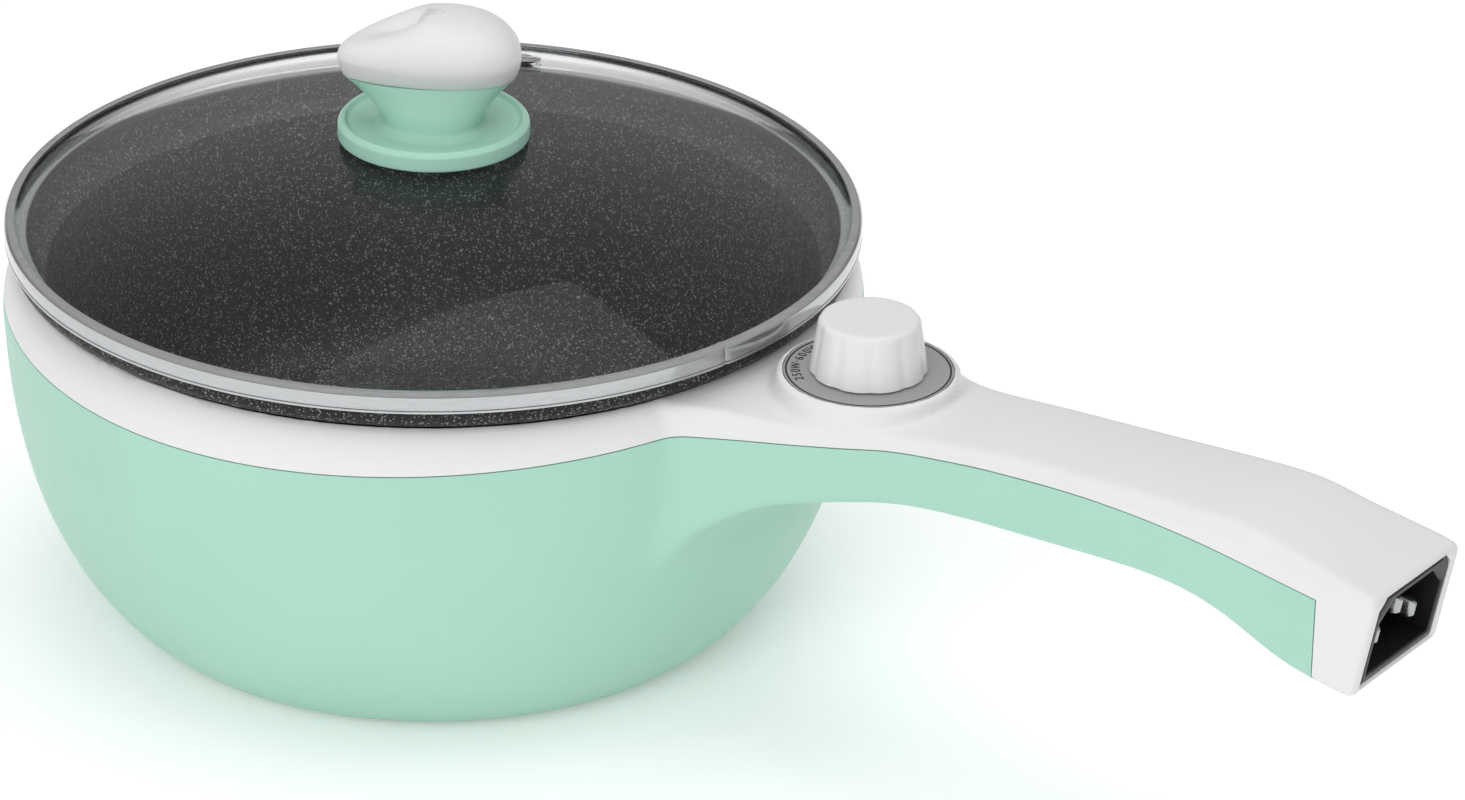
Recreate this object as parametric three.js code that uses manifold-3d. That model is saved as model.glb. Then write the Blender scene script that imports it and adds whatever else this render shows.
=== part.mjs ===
// An electric hot pot of saucepan shape: a coated inner pot in a round two-colour plastic body, a domed glass
// lid that lifts off, and a hollow handle that carries a rotary power switch and, in its end, a mains inlet.
// Millimetres, +Z up. The origin is on the pot's axis, on the surface that the feet stand on. +X is along the
// handle.

import * as THREE from "three";
import { mergeVertices } from "three/addons/utils/BufferGeometryUtils.js";
import Module from "manifold-3d";

const wasm = await Module();
wasm.setup();

// ---------- Driving dimensions ----------

const BODY_SIDES = 40; // facets round the body, the pot and the lid
const SMALL_SIDES = 20; // facets round knobs, bosses and feet
const SCREW_SIDES = 8;
const GAP = 0.3; // clearance between pieces that touch

// Body: a bowl that widens from its flat bottom, with a rounded shoulder under the pot's flange.
const BODY_BOTTOM_Z = 1.5;
const BODY_WIDEST_R = 92.3;
const BODY_WIDEST_Z = 69;
const BOWL_CURVE = [
  [67.4, BODY_BOTTOM_Z], [73.8, 7.6], [80.8, 18],
  [86.9, 32.6], [90.8, 50.6], [BODY_WIDEST_R, BODY_WIDEST_Z],
];
const SHOULDER_TOP = [87.9, 80.8];
const SHELL_WALL = 2.4;
const POT_HOLE_R = 86.4;
const COLLAR_LIP_BOTTOM_Z = 74;
const BASE_OPENING_R = 62;

// The line between the white upper housing and the coloured lower shell dips at the sides of the body.
const SEAM_LOW_Z = 70.6;
const SEAM_RISE = 0.00045; // rise per square millimetre along X
const SEAM_HANDLE_X = 84;
const SEAM_END_X = 231;
const SEAM_ON_HANDLE = [
  [110, 76.4], [135, 78.6], [155, 80.4],
  [180, 81.3], [203, 80.2], [SEAM_END_X, 76.5],
];

// Handle: seen from the side it climbs a little, then bends down to its thicker end.
const HANDLE_ROOT_X = 70;
const HANDLE_TOP = [
  [HANDLE_ROOT_X, 80.4], [110, 80.7], [133, 81.8], [157, 84],
  [191, 86], [210, 86.6], [222, 84.9], [244.5, 79.9],
];
const HANDLE_BOTTOM = [
  [80, 40], [91, 51.5], [104, 60], [120, 64], [140, 66.2],
  [165, 67.1], [192, 68], [207, 65.7], [224, 59.3], [240.1, 56.9],
];
const HANDLE_HALF_WIDTH = [
  [HANDLE_ROOT_X, 36], [98, 27.6], [110, 24.3], [121, 20.2], [132, 16.8],
  [145, 15.8], [172, 15.3], [200, 15.9], [225, 16.5], [248, 16.6],
];
const HANDLE_WALL = 2.2;
const HANDLE_SCREWS_X = [150, 203];

// Inner pot and its flange.
const POT_FLOOR_Z = 17.5;
const POT_WALL = 1.8;
const POT_FLANGE_R = 90.5;
const POT_RIM_Z = 85.3;

// Lid.
const BAND_R = 91.5;
const BAND_TOP_Z = 90;
const BAND_SHEET = 0.8;
const GLASS_R = 90.4;
const GLASS_EDGE_Z = 88.7; // top of the glass at its edge
const GLASS_APEX_Z = 107.2;
const GLASS_THICK = 2.2;
const GLASS_SCREW_HOLE_R = 3.2;
const VENT_R_FROM_AXIS = 60;
const VENT_AZIMUTH = 109.5; // degrees

// Lid knob: a round dished flange, and an oval neck and cap turned to lie across the pot's front.
const LID_KNOB_R = 20.5;
const LID_KNOB_BOTTOM_Z = 106.9;
const LID_KNOB_RIM_Z = 111.1;
const LID_KNOB_PLATE_Z = [108.8, 110]; // underside and top of the flange's plate
const LID_KNOB_SKIRT_R = 18.4; // inside of the flange's skirt
const LID_KNOB_SEAM_Z = 121;
const LID_KNOB_AZIMUTH = 35.5; // degrees, of the oval's long axis
// Half length, half depth and height of each level of the neck and of the cap.
const NECK_OVALS = [
  [10.3, 9.6, 109.2],
  [13, 9.2, 114.6],
  [17.6, 8.8, LID_KNOB_SEAM_Z - GAP],
];
const CAP_OVALS = [
  [17.6, 8.8, LID_KNOB_SEAM_Z],
  [18.5, 11.4, 123.6],
  [18.6, 12, 125.8],
  [17.4, 11.4, 129.2],
  [13.4, 9, 132.6],
  [7, 5, 134.6],
  [2.4, 1.7, 135],
];
const OVAL_SLICE = 0.02;
const GASKET = { r: [3.4, 12], z: [107.5, 108.5] };
const LID_WASHER = { r: [2.5, 8], thick: 1.2 };
const LID_SCREW = { r: 2, top: 119.5, holeR: 2.3, holeTop: 120.6 };

// Power control.
const DIAL_X = 113.2;
const BOSS_R = 18.8;
const BOSS_TOP_Z = 85;
const DIAL_R = 17.5;
const DIAL_TOP_Z = 84.9;
const DIAL_THICK = 0.5;
const BUSHING_R = 4.5;
const BUSHING_TOP_Z = 88.2;
const SWITCH_HALF_WIDTH = 10;
const SWITCH_BOTTOM_Z = 68;
const SWITCH_NUT_R = 7;
const SHAFT_R = 3;
const SHAFT_BOTTOM_Z = 75;
const KNOB_BASE_R = 12.15;
const KNOB_TOP_R = 10.3;
const KNOB_BOTTOM_Z = 85.3;
const KNOB_HEIGHT = 11.5;
const KNOB_HOLLOW_R = 9;
const KNOB_HOLLOW_TOP_Z = 94.6;
const KNOB_HUB_R = 4.6;
const KNOB_HUB_BOTTOM_Z = 88.7;
const KNOB_FLUTES = 12;
const KNOB_FLUTE_DEPTH = 0.6;

// Mains inlet, of the standard three-pin appliance size, in the slanted end of the handle.
const INLET_X = 242.3;
const INLET_Z = 68.9;
const INLET_TILT = 10.85; // degrees
const INLET_WIDTH = 27;
const INLET_HEIGHT = 19.8;
const INLET_DEPTH = 21;
const INLET_CHAMFER = 5;
const INLET_RIM = 1.6;
const INLET_RECESS_DEPTH = 16;
const PIN_SPACING = 14;
const PIN_OFFSET = 2; // earth above the middle, line and neutral below it
const PIN_SIZE = [2, 4]; // width, height

// Heater, under the pot.
const HEATER_PLATE_R = 48;
const HEATER_PLATE_Z = [13, 17.2];
const ELEMENT_R = 36;
const ELEMENT_TUBE_R = 3;
const ELEMENT_Z = 9.7;
const RING_R = [54.5, 66];
const RING_Z = [7, 8.2];
const STUD_R_FROM_AXIS = 59.5;
const STUD_AZIMUTHS = [70, 190, 310];

// Base.
const BASE_COVER_R = BASE_OPENING_R - GAP;
const BASE_COVER_TOP_Z = 3.9;
const BASE_PAD = { r: 28, z: 1 };
const FOOT = { r: 6.2, ringR: 54, top: 2.2, pocket: 2.5 };
const BASE_SCREW_RING_R = 57.5;
const WIRE_R = 1.3;

// ---------- Geometry helpers ----------

// A closed mesh as a manifold-3d solid, turned to face out whichever way its profile ran.
function solid(geometry) {
  const bare = new THREE.BufferGeometry();
  const source = geometry.index ? geometry.toNonIndexed() : geometry;
  bare.setAttribute("position", source.getAttribute("position").clone());
  const merged = mergeVertices(bare, 1e-4);
  const points = merged.getAttribute("position");
  const triangles = [];
  const corner = [new THREE.Vector3(), new THREE.Vector3(), new THREE.Vector3()];
  let volume = 0;
  for (let i = 0; i < merged.index.count; i += 3) {
    const face = [0, 1, 2].map((k) => merged.index.getX(i + k));
    if (new Set(face).size < 3) continue;
    triangles.push(...face);
    face.forEach((v, k) => corner[k].fromBufferAttribute(points, v));
    volume += corner[0].dot(corner[1].clone().cross(corner[2]));
  }
  if (volume < 0) triangles.reverse();
  return new wasm.Manifold(
    new wasm.Mesh({ numProp: 3, vertProperties: points.array, triVerts: new Uint32Array(triangles) }),
  );
}

function geometryOf(manifold) {
  const mesh = manifold.getMesh();
  const geometry = new THREE.BufferGeometry();
  geometry.setAttribute("position", new THREE.BufferAttribute(mesh.vertProperties, 3));
  geometry.setIndex(new THREE.BufferAttribute(mesh.triVerts, 1));
  geometry.computeVertexNormals();
  return geometry;
}

const joined = (...solids) => solids.reduce((a, b) => a.add(b));
const cut = (body, ...tools) => tools.reduce((a, b) => a.subtract(b), body);
const radians = (degrees) => THREE.MathUtils.degToRad(degrees);
const vectors2 = (pairs) => pairs.map(([x, y]) => new THREE.Vector2(x, y));
const smooth = (pairs, steps) => new THREE.SplineCurve(vectors2(pairs)).getPoints(steps);

// The polyline moved sideways, to the left of its direction when distance is positive.
function offset(points, distance) {
  return points.map((point, i) => {
    const before = points[Math.max(i - 1, 0)];
    const after = points[Math.min(i + 1, points.length - 1)];
    const along = after.clone().sub(before).normalize();
    return new THREE.Vector2(point.x - along.y * distance, point.y + along.x * distance);
  });
}

function heightAt(points, x) {
  const i = points.findIndex((p, k) => k + 1 < points.length && p.x <= x && x <= points[k + 1].x);
  const t = (x - points[i].x) / (points[i + 1].x - points[i].x);
  return THREE.MathUtils.lerp(points[i].y, points[i + 1].y, t);
}

// A profile of [radius, z] turned about Z. It starts and ends on the axis, or closes on itself.
function turned(profile, sides = BODY_SIDES) {
  const points = profile.map((p) => (p.isVector2 ? p : new THREE.Vector2(...p)));
  const closes = points[0].x > 0;
  if (closes) points.push(points[0].clone());
  return solid(new THREE.LatheGeometry(points, sides).rotateX(Math.PI / 2));
}

function rod(r, z0, z1, { x = 0, y = 0, topR = r, sides = SMALL_SIDES } = {}) {
  const geometry = new THREE.CylinderGeometry(topR, r, z1 - z0, sides).rotateX(Math.PI / 2);
  return solid(geometry.translate(x, y, (z0 + z1) / 2));
}

function block([x0, y0, z0], [x1, y1, z1]) {
  const geometry = new THREE.BoxGeometry(x1 - x0, y1 - y0, z1 - z0);
  return solid(geometry.translate((x0 + x1) / 2, (y0 + y1) / 2, (z0 + z1) / 2));
}

function extruded(points, depth) {
  return new THREE.ExtrudeGeometry(new THREE.Shape(points), { depth, bevelEnabled: false });
}

// An outline in X and Z, extruded equally to both sides of the XZ plane.
function sideways(points, halfWidth) {
  return solid(extruded(points, 2 * halfWidth).rotateX(Math.PI / 2).translate(0, halfWidth, 0));
}

function upwards(points, z0, z1) {
  return solid(extruded(points, z1 - z0).translate(0, 0, z0));
}

// An outline in Y and Z, extruded from x0 to x1.
function outwards(points, x0, x1) {
  const [x, y, z] = [new THREE.Vector3(1, 0, 0), new THREE.Vector3(0, 1, 0), new THREE.Vector3(0, 0, 1)];
  const turn = new THREE.Matrix4().makeBasis(y, z, x);
  return solid(extruded(points, x1 - x0).applyMatrix4(turn).translate(x0, 0, 0));
}

function tube(points, r, steps, sides = 8) {
  const circle = new THREE.Path().absarc(0, 0, r, 0, 2 * Math.PI);
  const section = new THREE.Shape(circle.getSpacedPoints(sides).slice(1));
  const extrudePath = new THREE.CatmullRomCurve3(points);
  return solid(new THREE.ExtrudeGeometry(section, { steps, extrudePath, bevelEnabled: false }));
}

// A point at a radius and an azimuth (degrees) round the pot's axis.
function around(r, azimuth, z) {
  return new THREE.Vector3(r * Math.cos(radians(azimuth)), r * Math.sin(radians(azimuth)), z);
}

// ---------- Materials ----------

const material = (color, roughness, metalness = 0, extra = {}) => () =>
  new THREE.MeshStandardMaterial({ color, roughness, metalness, ...extra });
const look = {
  white: material(0xe6e6e6, 0.32),
  mint: material(0xa8d6c4, 0.38),
  potCoating: material(0x35363a, 0.5),
  steel: material(0xc4c6c8, 0.22, 1),
  glass: material(0xdfe8ea, 0.05, 0, { transparent: true, opacity: 0.3 }),
  silicone: material(0xd8dcdc, 0.6),
  dial: material(0xa0a0a0, 0.45),
  black: material(0x0b0b0c, 0.5),
  aluminium: material(0xb2b4b6, 0.4, 1),
  rubber: material(0x2a2a2c, 0.85),
  brass: material(0xc9a458, 0.35, 1),
  wireBrown: material(0x6b3a1e, 0.6),
  wireBlue: material(0x2b56b0, 0.6),
  wireGreen: material(0x5f9a2e, 0.6),
};

const hotPot = new THREE.Group();

function add(name, body, appearance, group = hotPot) {
  const mesh = new THREE.Mesh(geometryOf(body), appearance());
  mesh.name = name;
  group.add(mesh);
}

// ---------- Casing: the bowl, its collar and the hollow handle, parted along the seam ----------

const bowlOuter = smooth(BOWL_CURVE, 8);
const shoulder = new THREE.QuadraticBezierCurve(
  new THREE.Vector2(BODY_WIDEST_R, BODY_WIDEST_Z),
  new THREE.Vector2(BODY_WIDEST_R, 77.5),
  new THREE.Vector2(...SHOULDER_TOP),
).getPoints(4);
const bodyOuter = [...bowlOuter, ...shoulder.slice(1)];
const wallOuter = [...bowlOuter, ...shoulder.slice(1, 3)];
const bodyInner = offset(wallOuter, SHELL_WALL).filter((p) => p.y > BASE_COVER_TOP_Z);

const handleTop = smooth(HANDLE_TOP, 16);
const handleBottom = smooth(HANDLE_BOTTOM, 16);
const handleHalfWidth = smooth(HANDLE_HALF_WIDTH, 14);

function handleSolid(inset) {
  const top = offset(handleTop, -inset);
  const bottom = offset(handleBottom, inset);
  const side = [...bottom, ...top.reverse(), new THREE.Vector2(HANDLE_ROOT_X, 40)];
  const near = handleHalfWidth.map((p) => new THREE.Vector2(p.x, -p.y + inset));
  const far = handleHalfWidth.map((p) => new THREE.Vector2(p.x, p.y - inset)).reverse();
  return sideways(side, 40).intersect(upwards([...near, ...far], 30, 100));
}

function seamRegion(lift, above) {
  const line = [];
  const seamZ = (x) => SEAM_LOW_Z + SEAM_RISE * x * x;
  for (let x = -100; x <= SEAM_HANDLE_X; x += 8) {
    line.push(new THREE.Vector2(x, seamZ(x) + lift));
  }
  const start = [SEAM_HANDLE_X + 4, seamZ(SEAM_HANDLE_X + 4)];
  const onHandle = smooth([start, ...SEAM_ON_HANDLE], 16);
  onHandle.forEach((p) => line.push(new THREE.Vector2(p.x, p.y + lift)));
  const endX = SEAM_END_X + lift;
  line[line.length - 1].x = endX;
  const rest = above ? [[endX, 30], [260, 30], [260, 100], [-100, 100]] : [[endX, 0], [-100, 0]];
  return sideways([...line, ...vectors2(rest)], 100);
}

const collarInside = [
  [0, BASE_COVER_TOP_Z],
  [66.5, BASE_COVER_TOP_Z],
  ...bodyInner,
  [POT_HOLE_R + 1.8, 77.8],
  [POT_HOLE_R + 1.8, COLLAR_LIP_BOTTOM_Z],
  [POT_HOLE_R, COLLAR_LIP_BOTTOM_Z],
  [POT_HOLE_R, 79.4],
  [88.2, 81.1],
  [88.2, 95],
  [0, 95],
];
const fullBody = turned([[0, BODY_BOTTOM_Z], ...bodyOuter, [0, SHOULDER_TOP[1]]]);
const boss = rod(BOSS_R + 2, 76, BOSS_TOP_Z, { x: DIAL_X, topR: BOSS_R, sides: 40 });
const inletPose = new THREE.Matrix4().makeRotationY(radians(INLET_TILT)).setPosition(INLET_X, 0, INLET_Z);

function chamferedOutline(inset) {
  const [w, h, c] = [INLET_WIDTH / 2 - inset, INLET_HEIGHT / 2 - inset, INLET_CHAMFER - 0.5 * inset];
  return vectors2([[-w, -h], [w, -h], [w, h - c], [w - c, h], [c - w, h], [-w, h - c]]);
}

const inletPocket = outwards(chamferedOutline(-GAP), -INLET_DEPTH - 3, 5).transform([...inletPose.elements]);
const casing = cut(
  joined(fullBody, handleSolid(0), boss),
  turned(collarInside),
  handleSolid(HANDLE_WALL).subtract(block([238.5, -40, 30], [260, 40, 100])),
  rod(BASE_OPENING_R, 0, BASE_COVER_TOP_Z + 1, { sides: BODY_SIDES }),
  rod(BOSS_R - 2.4, 70, DIAL_TOP_Z - DIAL_THICK - 2.3, { x: DIAL_X, sides: 40 }),
  rod(DIAL_R + GAP, DIAL_TOP_Z - DIAL_THICK - GAP, 90, { x: DIAL_X, sides: 40 }),
  rod(BUSHING_R + 0.4, 70, 90, { x: DIAL_X }),
  inletPocket,
);

function handlePost(x, r, z0, z1) {
  return rod(r, z0, z1, { x, sides: 16 });
}

const POST_JOINT_Z = 76;
const POST_R = 4.6;
const SCREW_HEAD_DEPTH = 5;
const handleScrewSeats = HANDLE_SCREWS_X.map((x) => ({
  x,
  floor: heightAt(handleBottom, x),
  ceiling: heightAt(handleTop, x),
}));

let upperHousing = casing.intersect(seamRegion(0, true));
let outerShell = casing.intersect(seamRegion(-GAP, false));
for (const { x, floor, ceiling } of handleScrewSeats) {
  const column = handlePost(x, POST_R, floor + 1.2, POST_JOINT_Z - GAP);
  const hanging = handlePost(x, POST_R, POST_JOINT_Z, ceiling - 1.2);
  outerShell = cut(
    outerShell.add(column),
    handlePost(x, 3.3, floor - 5, floor + SCREW_HEAD_DEPTH),
    handlePost(x, 1.8, floor - 5, 90),
  );
  upperHousing = upperHousing.add(hanging).subtract(handlePost(x, 1.8, POST_JOINT_Z - 5, ceiling - 2.4));
}
add("upper_housing", upperHousing, look.white);
add("outer_shell", outerShell, look.mint);

handleScrewSeats.forEach(({ x, floor, ceiling }, i) => {
  const headTop = floor + SCREW_HEAD_DEPTH - GAP;
  const head = rod(2.9, headTop - 1.8, headTop, { x, sides: 16 });
  const shank = rod(1.4, headTop - 0.5, ceiling - 2.9, { x, sides: SCREW_SIDES });
  const slot = block([x - 2, -0.4, headTop - 2.5], [x + 2, 0.4, headTop - 1]);
  add(`handle_screw_${i + 1}`, joined(head, shank).subtract(slot), look.steel);
});

// ---------- Base cover, feet and base screws ----------

const quarterTurns = (first) => [0, 90, 180, 270].map((step) => first + step);
const footPlaces = quarterTurns(45).map((azimuth) => around(FOOT.ringR, azimuth, 0));
const baseScrewPlaces = quarterTurns(22.5).map((azimuth) => around(BASE_SCREW_RING_R, azimuth, 0));

const baseCover = cut(
  joined(
    rod(BASE_COVER_R, BODY_BOTTOM_Z, BASE_COVER_TOP_Z, { sides: BODY_SIDES }),
    rod(BASE_PAD.r, BASE_PAD.z, BODY_BOTTOM_Z + 0.5, { sides: 32 }),
  ),
  ...footPlaces.map(({ x, y }) => rod(FOOT.r + 0.4, 0, FOOT.pocket, { x, y })),
  ...baseScrewPlaces.map(({ x, y }) => rod(3.2, 0, 2.9, { x, y, sides: 16 })),
  ...baseScrewPlaces.map(({ x, y }) => rod(1.7, 0, 5, { x, y, sides: SCREW_SIDES })),
);
add("base_cover", baseCover, look.white);
footPlaces.forEach(({ x, y }, i) => {
  add(`foot_${i + 1}`, rod(FOOT.r - 0.7, 0, FOOT.top, { x, y, topR: FOOT.r }), look.rubber);
});
baseScrewPlaces.forEach(({ x, y }, i) => {
  const head = rod(2.8, 1.7, 2.6, { x, y, sides: 16 });
  const shank = rod(1.3, 2.3, 10, { x, y, sides: SCREW_SIDES });
  const slot = block([x - 2, y - 0.4, 1], [x + 2, y + 0.4, 2.1]);
  add(`base_screw_${i + 1}`, joined(head, shank).subtract(slot), look.steel);
});

// ---------- Inner pot, its seal, its studs and the ring that they hold ----------

const POT_STEP_LOW = [84.6, 78.2];
const POT_STEP_HIGH = [88.3, 81.6];
const potWallOutside = smooth([[62, POT_FLOOR_Z], [71, 20.4], [77, 28], [80.4, 42], POT_STEP_LOW], 6);
const potWallInside = offset(potWallOutside, POT_WALL).reverse();
const pot = turned([
  [0, POT_FLOOR_Z],
  ...potWallOutside,
  POT_STEP_HIGH,
  [POT_FLANGE_R - 0.6, 82.2],
  [POT_FLANGE_R, 83.4],
  [POT_FLANGE_R, POT_RIM_Z],
  [POT_FLANGE_R - 1.6, POT_RIM_Z],
  [POT_FLANGE_R - 1.8, 84],
  [POT_STEP_HIGH[0] - 1.1, POT_STEP_HIGH[1] + 1.2],
  ...potWallInside.slice(0, -1),
  [60, POT_FLOOR_Z + POT_WALL],
  [0, POT_FLOOR_Z + POT_WALL],
]);
add("inner_pot", pot, look.potCoating);
add("pot_seal", turned([[85.3, 74.6], [86.1, 74.6], [86.1, 78], [85.3, 78]], 32), look.silicone);

const studPlaces = STUD_AZIMUTHS.map((azimuth) => around(STUD_R_FROM_AXIS, azimuth, 0));
const mountingRing = cut(
  turned(
    [
      [RING_R[0], RING_Z[0]],
      [RING_R[1] - 1.5, RING_Z[0]],
      [RING_R[1] - 1.5, BASE_COVER_TOP_Z + GAP],
      [RING_R[1], BASE_COVER_TOP_Z + GAP],
      [RING_R[1], RING_Z[1]],
      [RING_R[0], RING_Z[1]],
    ],
    32,
  ),
  ...studPlaces.map(({ x, y }) => rod(2.4, 5, 10, { x, y, sides: SCREW_SIDES })),
  ...baseScrewPlaces.map(({ x, y }) => rod(1.7, 5, 10, { x, y, sides: SCREW_SIDES })),
);
add("mounting_ring", mountingRing, look.steel);
studPlaces.forEach(({ x, y }, i) => {
  add(`pot_stud_${i + 1}`, rod(2, 4.3, POT_FLOOR_Z - GAP, { x, y, sides: SCREW_SIDES }), look.steel);
  const nut = rod(3.7, 4.4, RING_Z[0] - GAP, { x, y, sides: 6 });
  add(`pot_nut_${i + 1}`, nut.subtract(rod(2.4, 4, 8, { x, y, sides: SCREW_SIDES })), look.steel);
});

// ---------- Heater ----------

add("heater_plate", rod(HEATER_PLATE_R, ...HEATER_PLATE_Z, { sides: 40 }), look.aluminium);

const elementPath = [new THREE.Vector3(47, 8, ELEMENT_Z), new THREE.Vector3(41, 9.5, ELEMENT_Z)];
for (let azimuth = 30; azimuth <= 330; azimuth += 30) {
  elementPath.push(around(ELEMENT_R, azimuth, ELEMENT_Z));
}
elementPath.push(new THREE.Vector3(41, -9.5, ELEMENT_Z), new THREE.Vector3(47, -8, ELEMENT_Z));
add("heating_element", tube(elementPath, ELEMENT_TUBE_R, 32), look.steel);
[8, -8].forEach((y, i) => {
  add(`heater_terminal_${i + 1}`, block([47.4, y - 0.4, 6.7], [53.2, y + 0.4, 12.7]), look.brass);
});
add("heat_shield", turned([[16, 4.6], [46, 4.6], [46, 5.4], [16, 5.4]], 24), look.aluminium);
add("thermostat", joined(rod(8, 8.4, 12.7), rod(5.5, 7.9, 8.6)), look.black);
add("thermostat_clip", block([-22, -4, 6.6], [22, 4, 7.5]), look.steel);
const FUSE_X = [14, 29];
const fuse = new THREE.CylinderGeometry(2.2, 2.2, FUSE_X[1] - FUSE_X[0], 16).rotateZ(Math.PI / 2);
add("thermal_fuse", solid(fuse.translate((FUSE_X[0] + FUSE_X[1]) / 2, 0, 10.4)), look.silicone);

// ---------- Power control: dial, rotary switch and knob ----------

const SWITCH_TOP_Z = DIAL_TOP_Z - DIAL_THICK - 2.6;
const dialPlate = cut(
  rod(DIAL_R, DIAL_TOP_Z - DIAL_THICK, DIAL_TOP_Z, { x: DIAL_X, sides: 40 }),
  rod(BUSHING_R + 0.4, 80, 90, { x: DIAL_X }),
);
add("dial_plate", dialPlate, look.dial);
const switchBody = cut(
  joined(
    block(
      [DIAL_X - SWITCH_HALF_WIDTH, -SWITCH_HALF_WIDTH, SWITCH_BOTTOM_Z],
      [DIAL_X + SWITCH_HALF_WIDTH, SWITCH_HALF_WIDTH, SWITCH_TOP_Z],
    ),
    rod(BUSHING_R, SWITCH_TOP_Z - 1, BUSHING_TOP_Z, { x: DIAL_X }),
  ),
  rod(SHAFT_R + 0.4, 74, 90, { x: DIAL_X }),
);
add("switch_body", switchBody, look.black);
const nut = rod(SWITCH_NUT_R, DIAL_TOP_Z + GAP, DIAL_TOP_Z + 2.4, { x: DIAL_X, sides: 6 });
add("switch_nut", nut.subtract(rod(BUSHING_R + GAP, 80, 90, { x: DIAL_X })), look.steel);
add("switch_shaft", rod(SHAFT_R, SHAFT_BOTTOM_Z, KNOB_HOLLOW_TOP_Z - GAP, { x: DIAL_X }), look.aluminium);

// The knob tapers upwards, has shallow flutes and a rounded top edge, and is hollow under its hub.
function flutedKnob() {
  const rise = (t) => KNOB_BOTTOM_Z + KNOB_HEIGHT * t;
  const profile = [
    [0, rise(0)],
    [KNOB_BASE_R, rise(0)],
    [KNOB_TOP_R + 0.3, rise(0.84)],
    [KNOB_TOP_R - 0.6, rise(0.96)],
    [KNOB_TOP_R - 2, rise(1)],
    [0, rise(1)],
  ];
  const geometry = new THREE.LatheGeometry(vectors2(profile), 3 * KNOB_FLUTES).rotateX(Math.PI / 2);
  const place = geometry.getAttribute("position");
  const point = new THREE.Vector3();
  for (let i = 0; i < place.count; i++) {
    point.fromBufferAttribute(place, i);
    const r = Math.hypot(point.x, point.y);
    const wave = (1 - Math.cos(KNOB_FLUTES * Math.atan2(point.y, point.x))) / 2;
    const depth = r > KNOB_TOP_R ? wave * KNOB_FLUTE_DEPTH : 0;
    const scale = r > 0 ? (r - depth) / r : 1;
    place.setXYZ(i, point.x * scale + DIAL_X, point.y * scale, point.z);
  }
  return solid(geometry);
}

const knobPlace = { x: DIAL_X };
const knob = joined(
  flutedKnob().subtract(rod(KNOB_HOLLOW_R, 80, KNOB_HOLLOW_TOP_Z, knobPlace)),
  rod(KNOB_HUB_R, KNOB_HUB_BOTTOM_Z, KNOB_HOLLOW_TOP_Z + 0.5, knobPlace),
).subtract(rod(SHAFT_R + GAP, 80, KNOB_HOLLOW_TOP_Z, knobPlace));
add("control_knob", knob, look.white);

// ---------- Mains inlet, in its own frame: X points out of the slanted end face ----------

const inlet = new THREE.Group();
inlet.position.set(INLET_X, 0, INLET_Z);
inlet.rotation.y = radians(INLET_TILT);
hotPot.add(inlet);

const INLET_FACE_X = -0.3;
const PIN_TAIL_X = -INLET_DEPTH - 7;
const pinPlaces = {
  inlet_pin_line: [-PIN_SPACING / 2, -PIN_OFFSET],
  inlet_pin_neutral: [PIN_SPACING / 2, -PIN_OFFSET],
  inlet_pin_earth: [0, PIN_OFFSET],
};

function pinBlock([y, z], x0, x1, spare) {
  const [w, h] = PIN_SIZE.map((size) => size / 2 + spare);
  return block([x0, y - w, z - h], [x1, y + w, z + h]);
}

const inletHousing = cut(
  outwards(chamferedOutline(0), -INLET_DEPTH, INLET_FACE_X),
  outwards(chamferedOutline(INLET_RIM), INLET_FACE_X - INLET_RECESS_DEPTH, 5),
  ...Object.values(pinPlaces).map((place) => pinBlock(place, -INLET_DEPTH - 2, 0, GAP)),
);
add("inlet_housing", inletHousing, look.black, inlet);
for (const [name, place] of Object.entries(pinPlaces)) {
  add(name, pinBlock(place, PIN_TAIL_X, INLET_FACE_X - 1.8, 0), look.steel, inlet);
}

// ---------- Wiring, clipped along the handle and led down between the pot and the shell ----------

// Where a pin's tail ends, in the frame of the whole object.
function tailOf(name) {
  const [y, z] = pinPlaces[name];
  return new THREE.Vector3(PIN_TAIL_X - 1, y, z).applyMatrix4(inletPose);
}

const at = (x, y, z) => new THREE.Vector3(x, y, z);
const WALL_ROUTE = [[86.6, 64], [83.7, 42], [79.8, 28], [73, 17.5]]; // radius and height, outside the pot
const downTheWall = (azimuth) => WALL_ROUTE.map(([r, z]) => around(r, azimuth, z));
const wires = {
  wire_line: {
    path: [
      tailOf("inlet_pin_line"), at(206, -8, 75), at(190, -8, 75), at(150, -8, 74),
      at(DIAL_X + 10.5, -5, 74),
    ],
    color: look.wireBrown,
  },
  wire_neutral: {
    path: [
      tailOf("inlet_pin_neutral"), at(206, 10.5, 75), at(190, 10.5, 75), at(150, 10.8, 74), at(122, 13, 73),
      at(104, 13, 71), around(92, 8, 68), ...downTheWall(8), at(62, 8.5, 11.5), at(53.6, 8, 10),
    ],
    color: look.wireBlue,
  },
  wire_earth: {
    path: [
      tailOf("inlet_pin_earth"), at(206, 6.9, 79), at(190, 7, 78), at(150, 6.8, 77), at(122, 13, 77),
      at(104, 17, 74), around(93, 13, 70), ...downTheWall(13), around(64, 20, 10.5),
    ],
    color: look.wireGreen,
  },
  wire_low: {
    path: [
      at(DIAL_X - 10.5, -7, 72), at(98, -7.5, 70), around(91, -6, 67), ...downTheWall(-7),
      at(62, -8.5, 11.5), at(53.6, -8, 10),
    ],
    color: look.wireBrown,
  },
  wire_high: {
    path: [
      at(DIAL_X - 10.5, 0, 72), at(98, 0, 70), around(91, 0, 67), ...downTheWall(0),
      at(62, 0, 11.5), at(45, 0, 10.4), at(FUSE_X[1] + GAP, 0, 10.4),
    ],
    color: look.wireBrown,
  },
};
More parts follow.
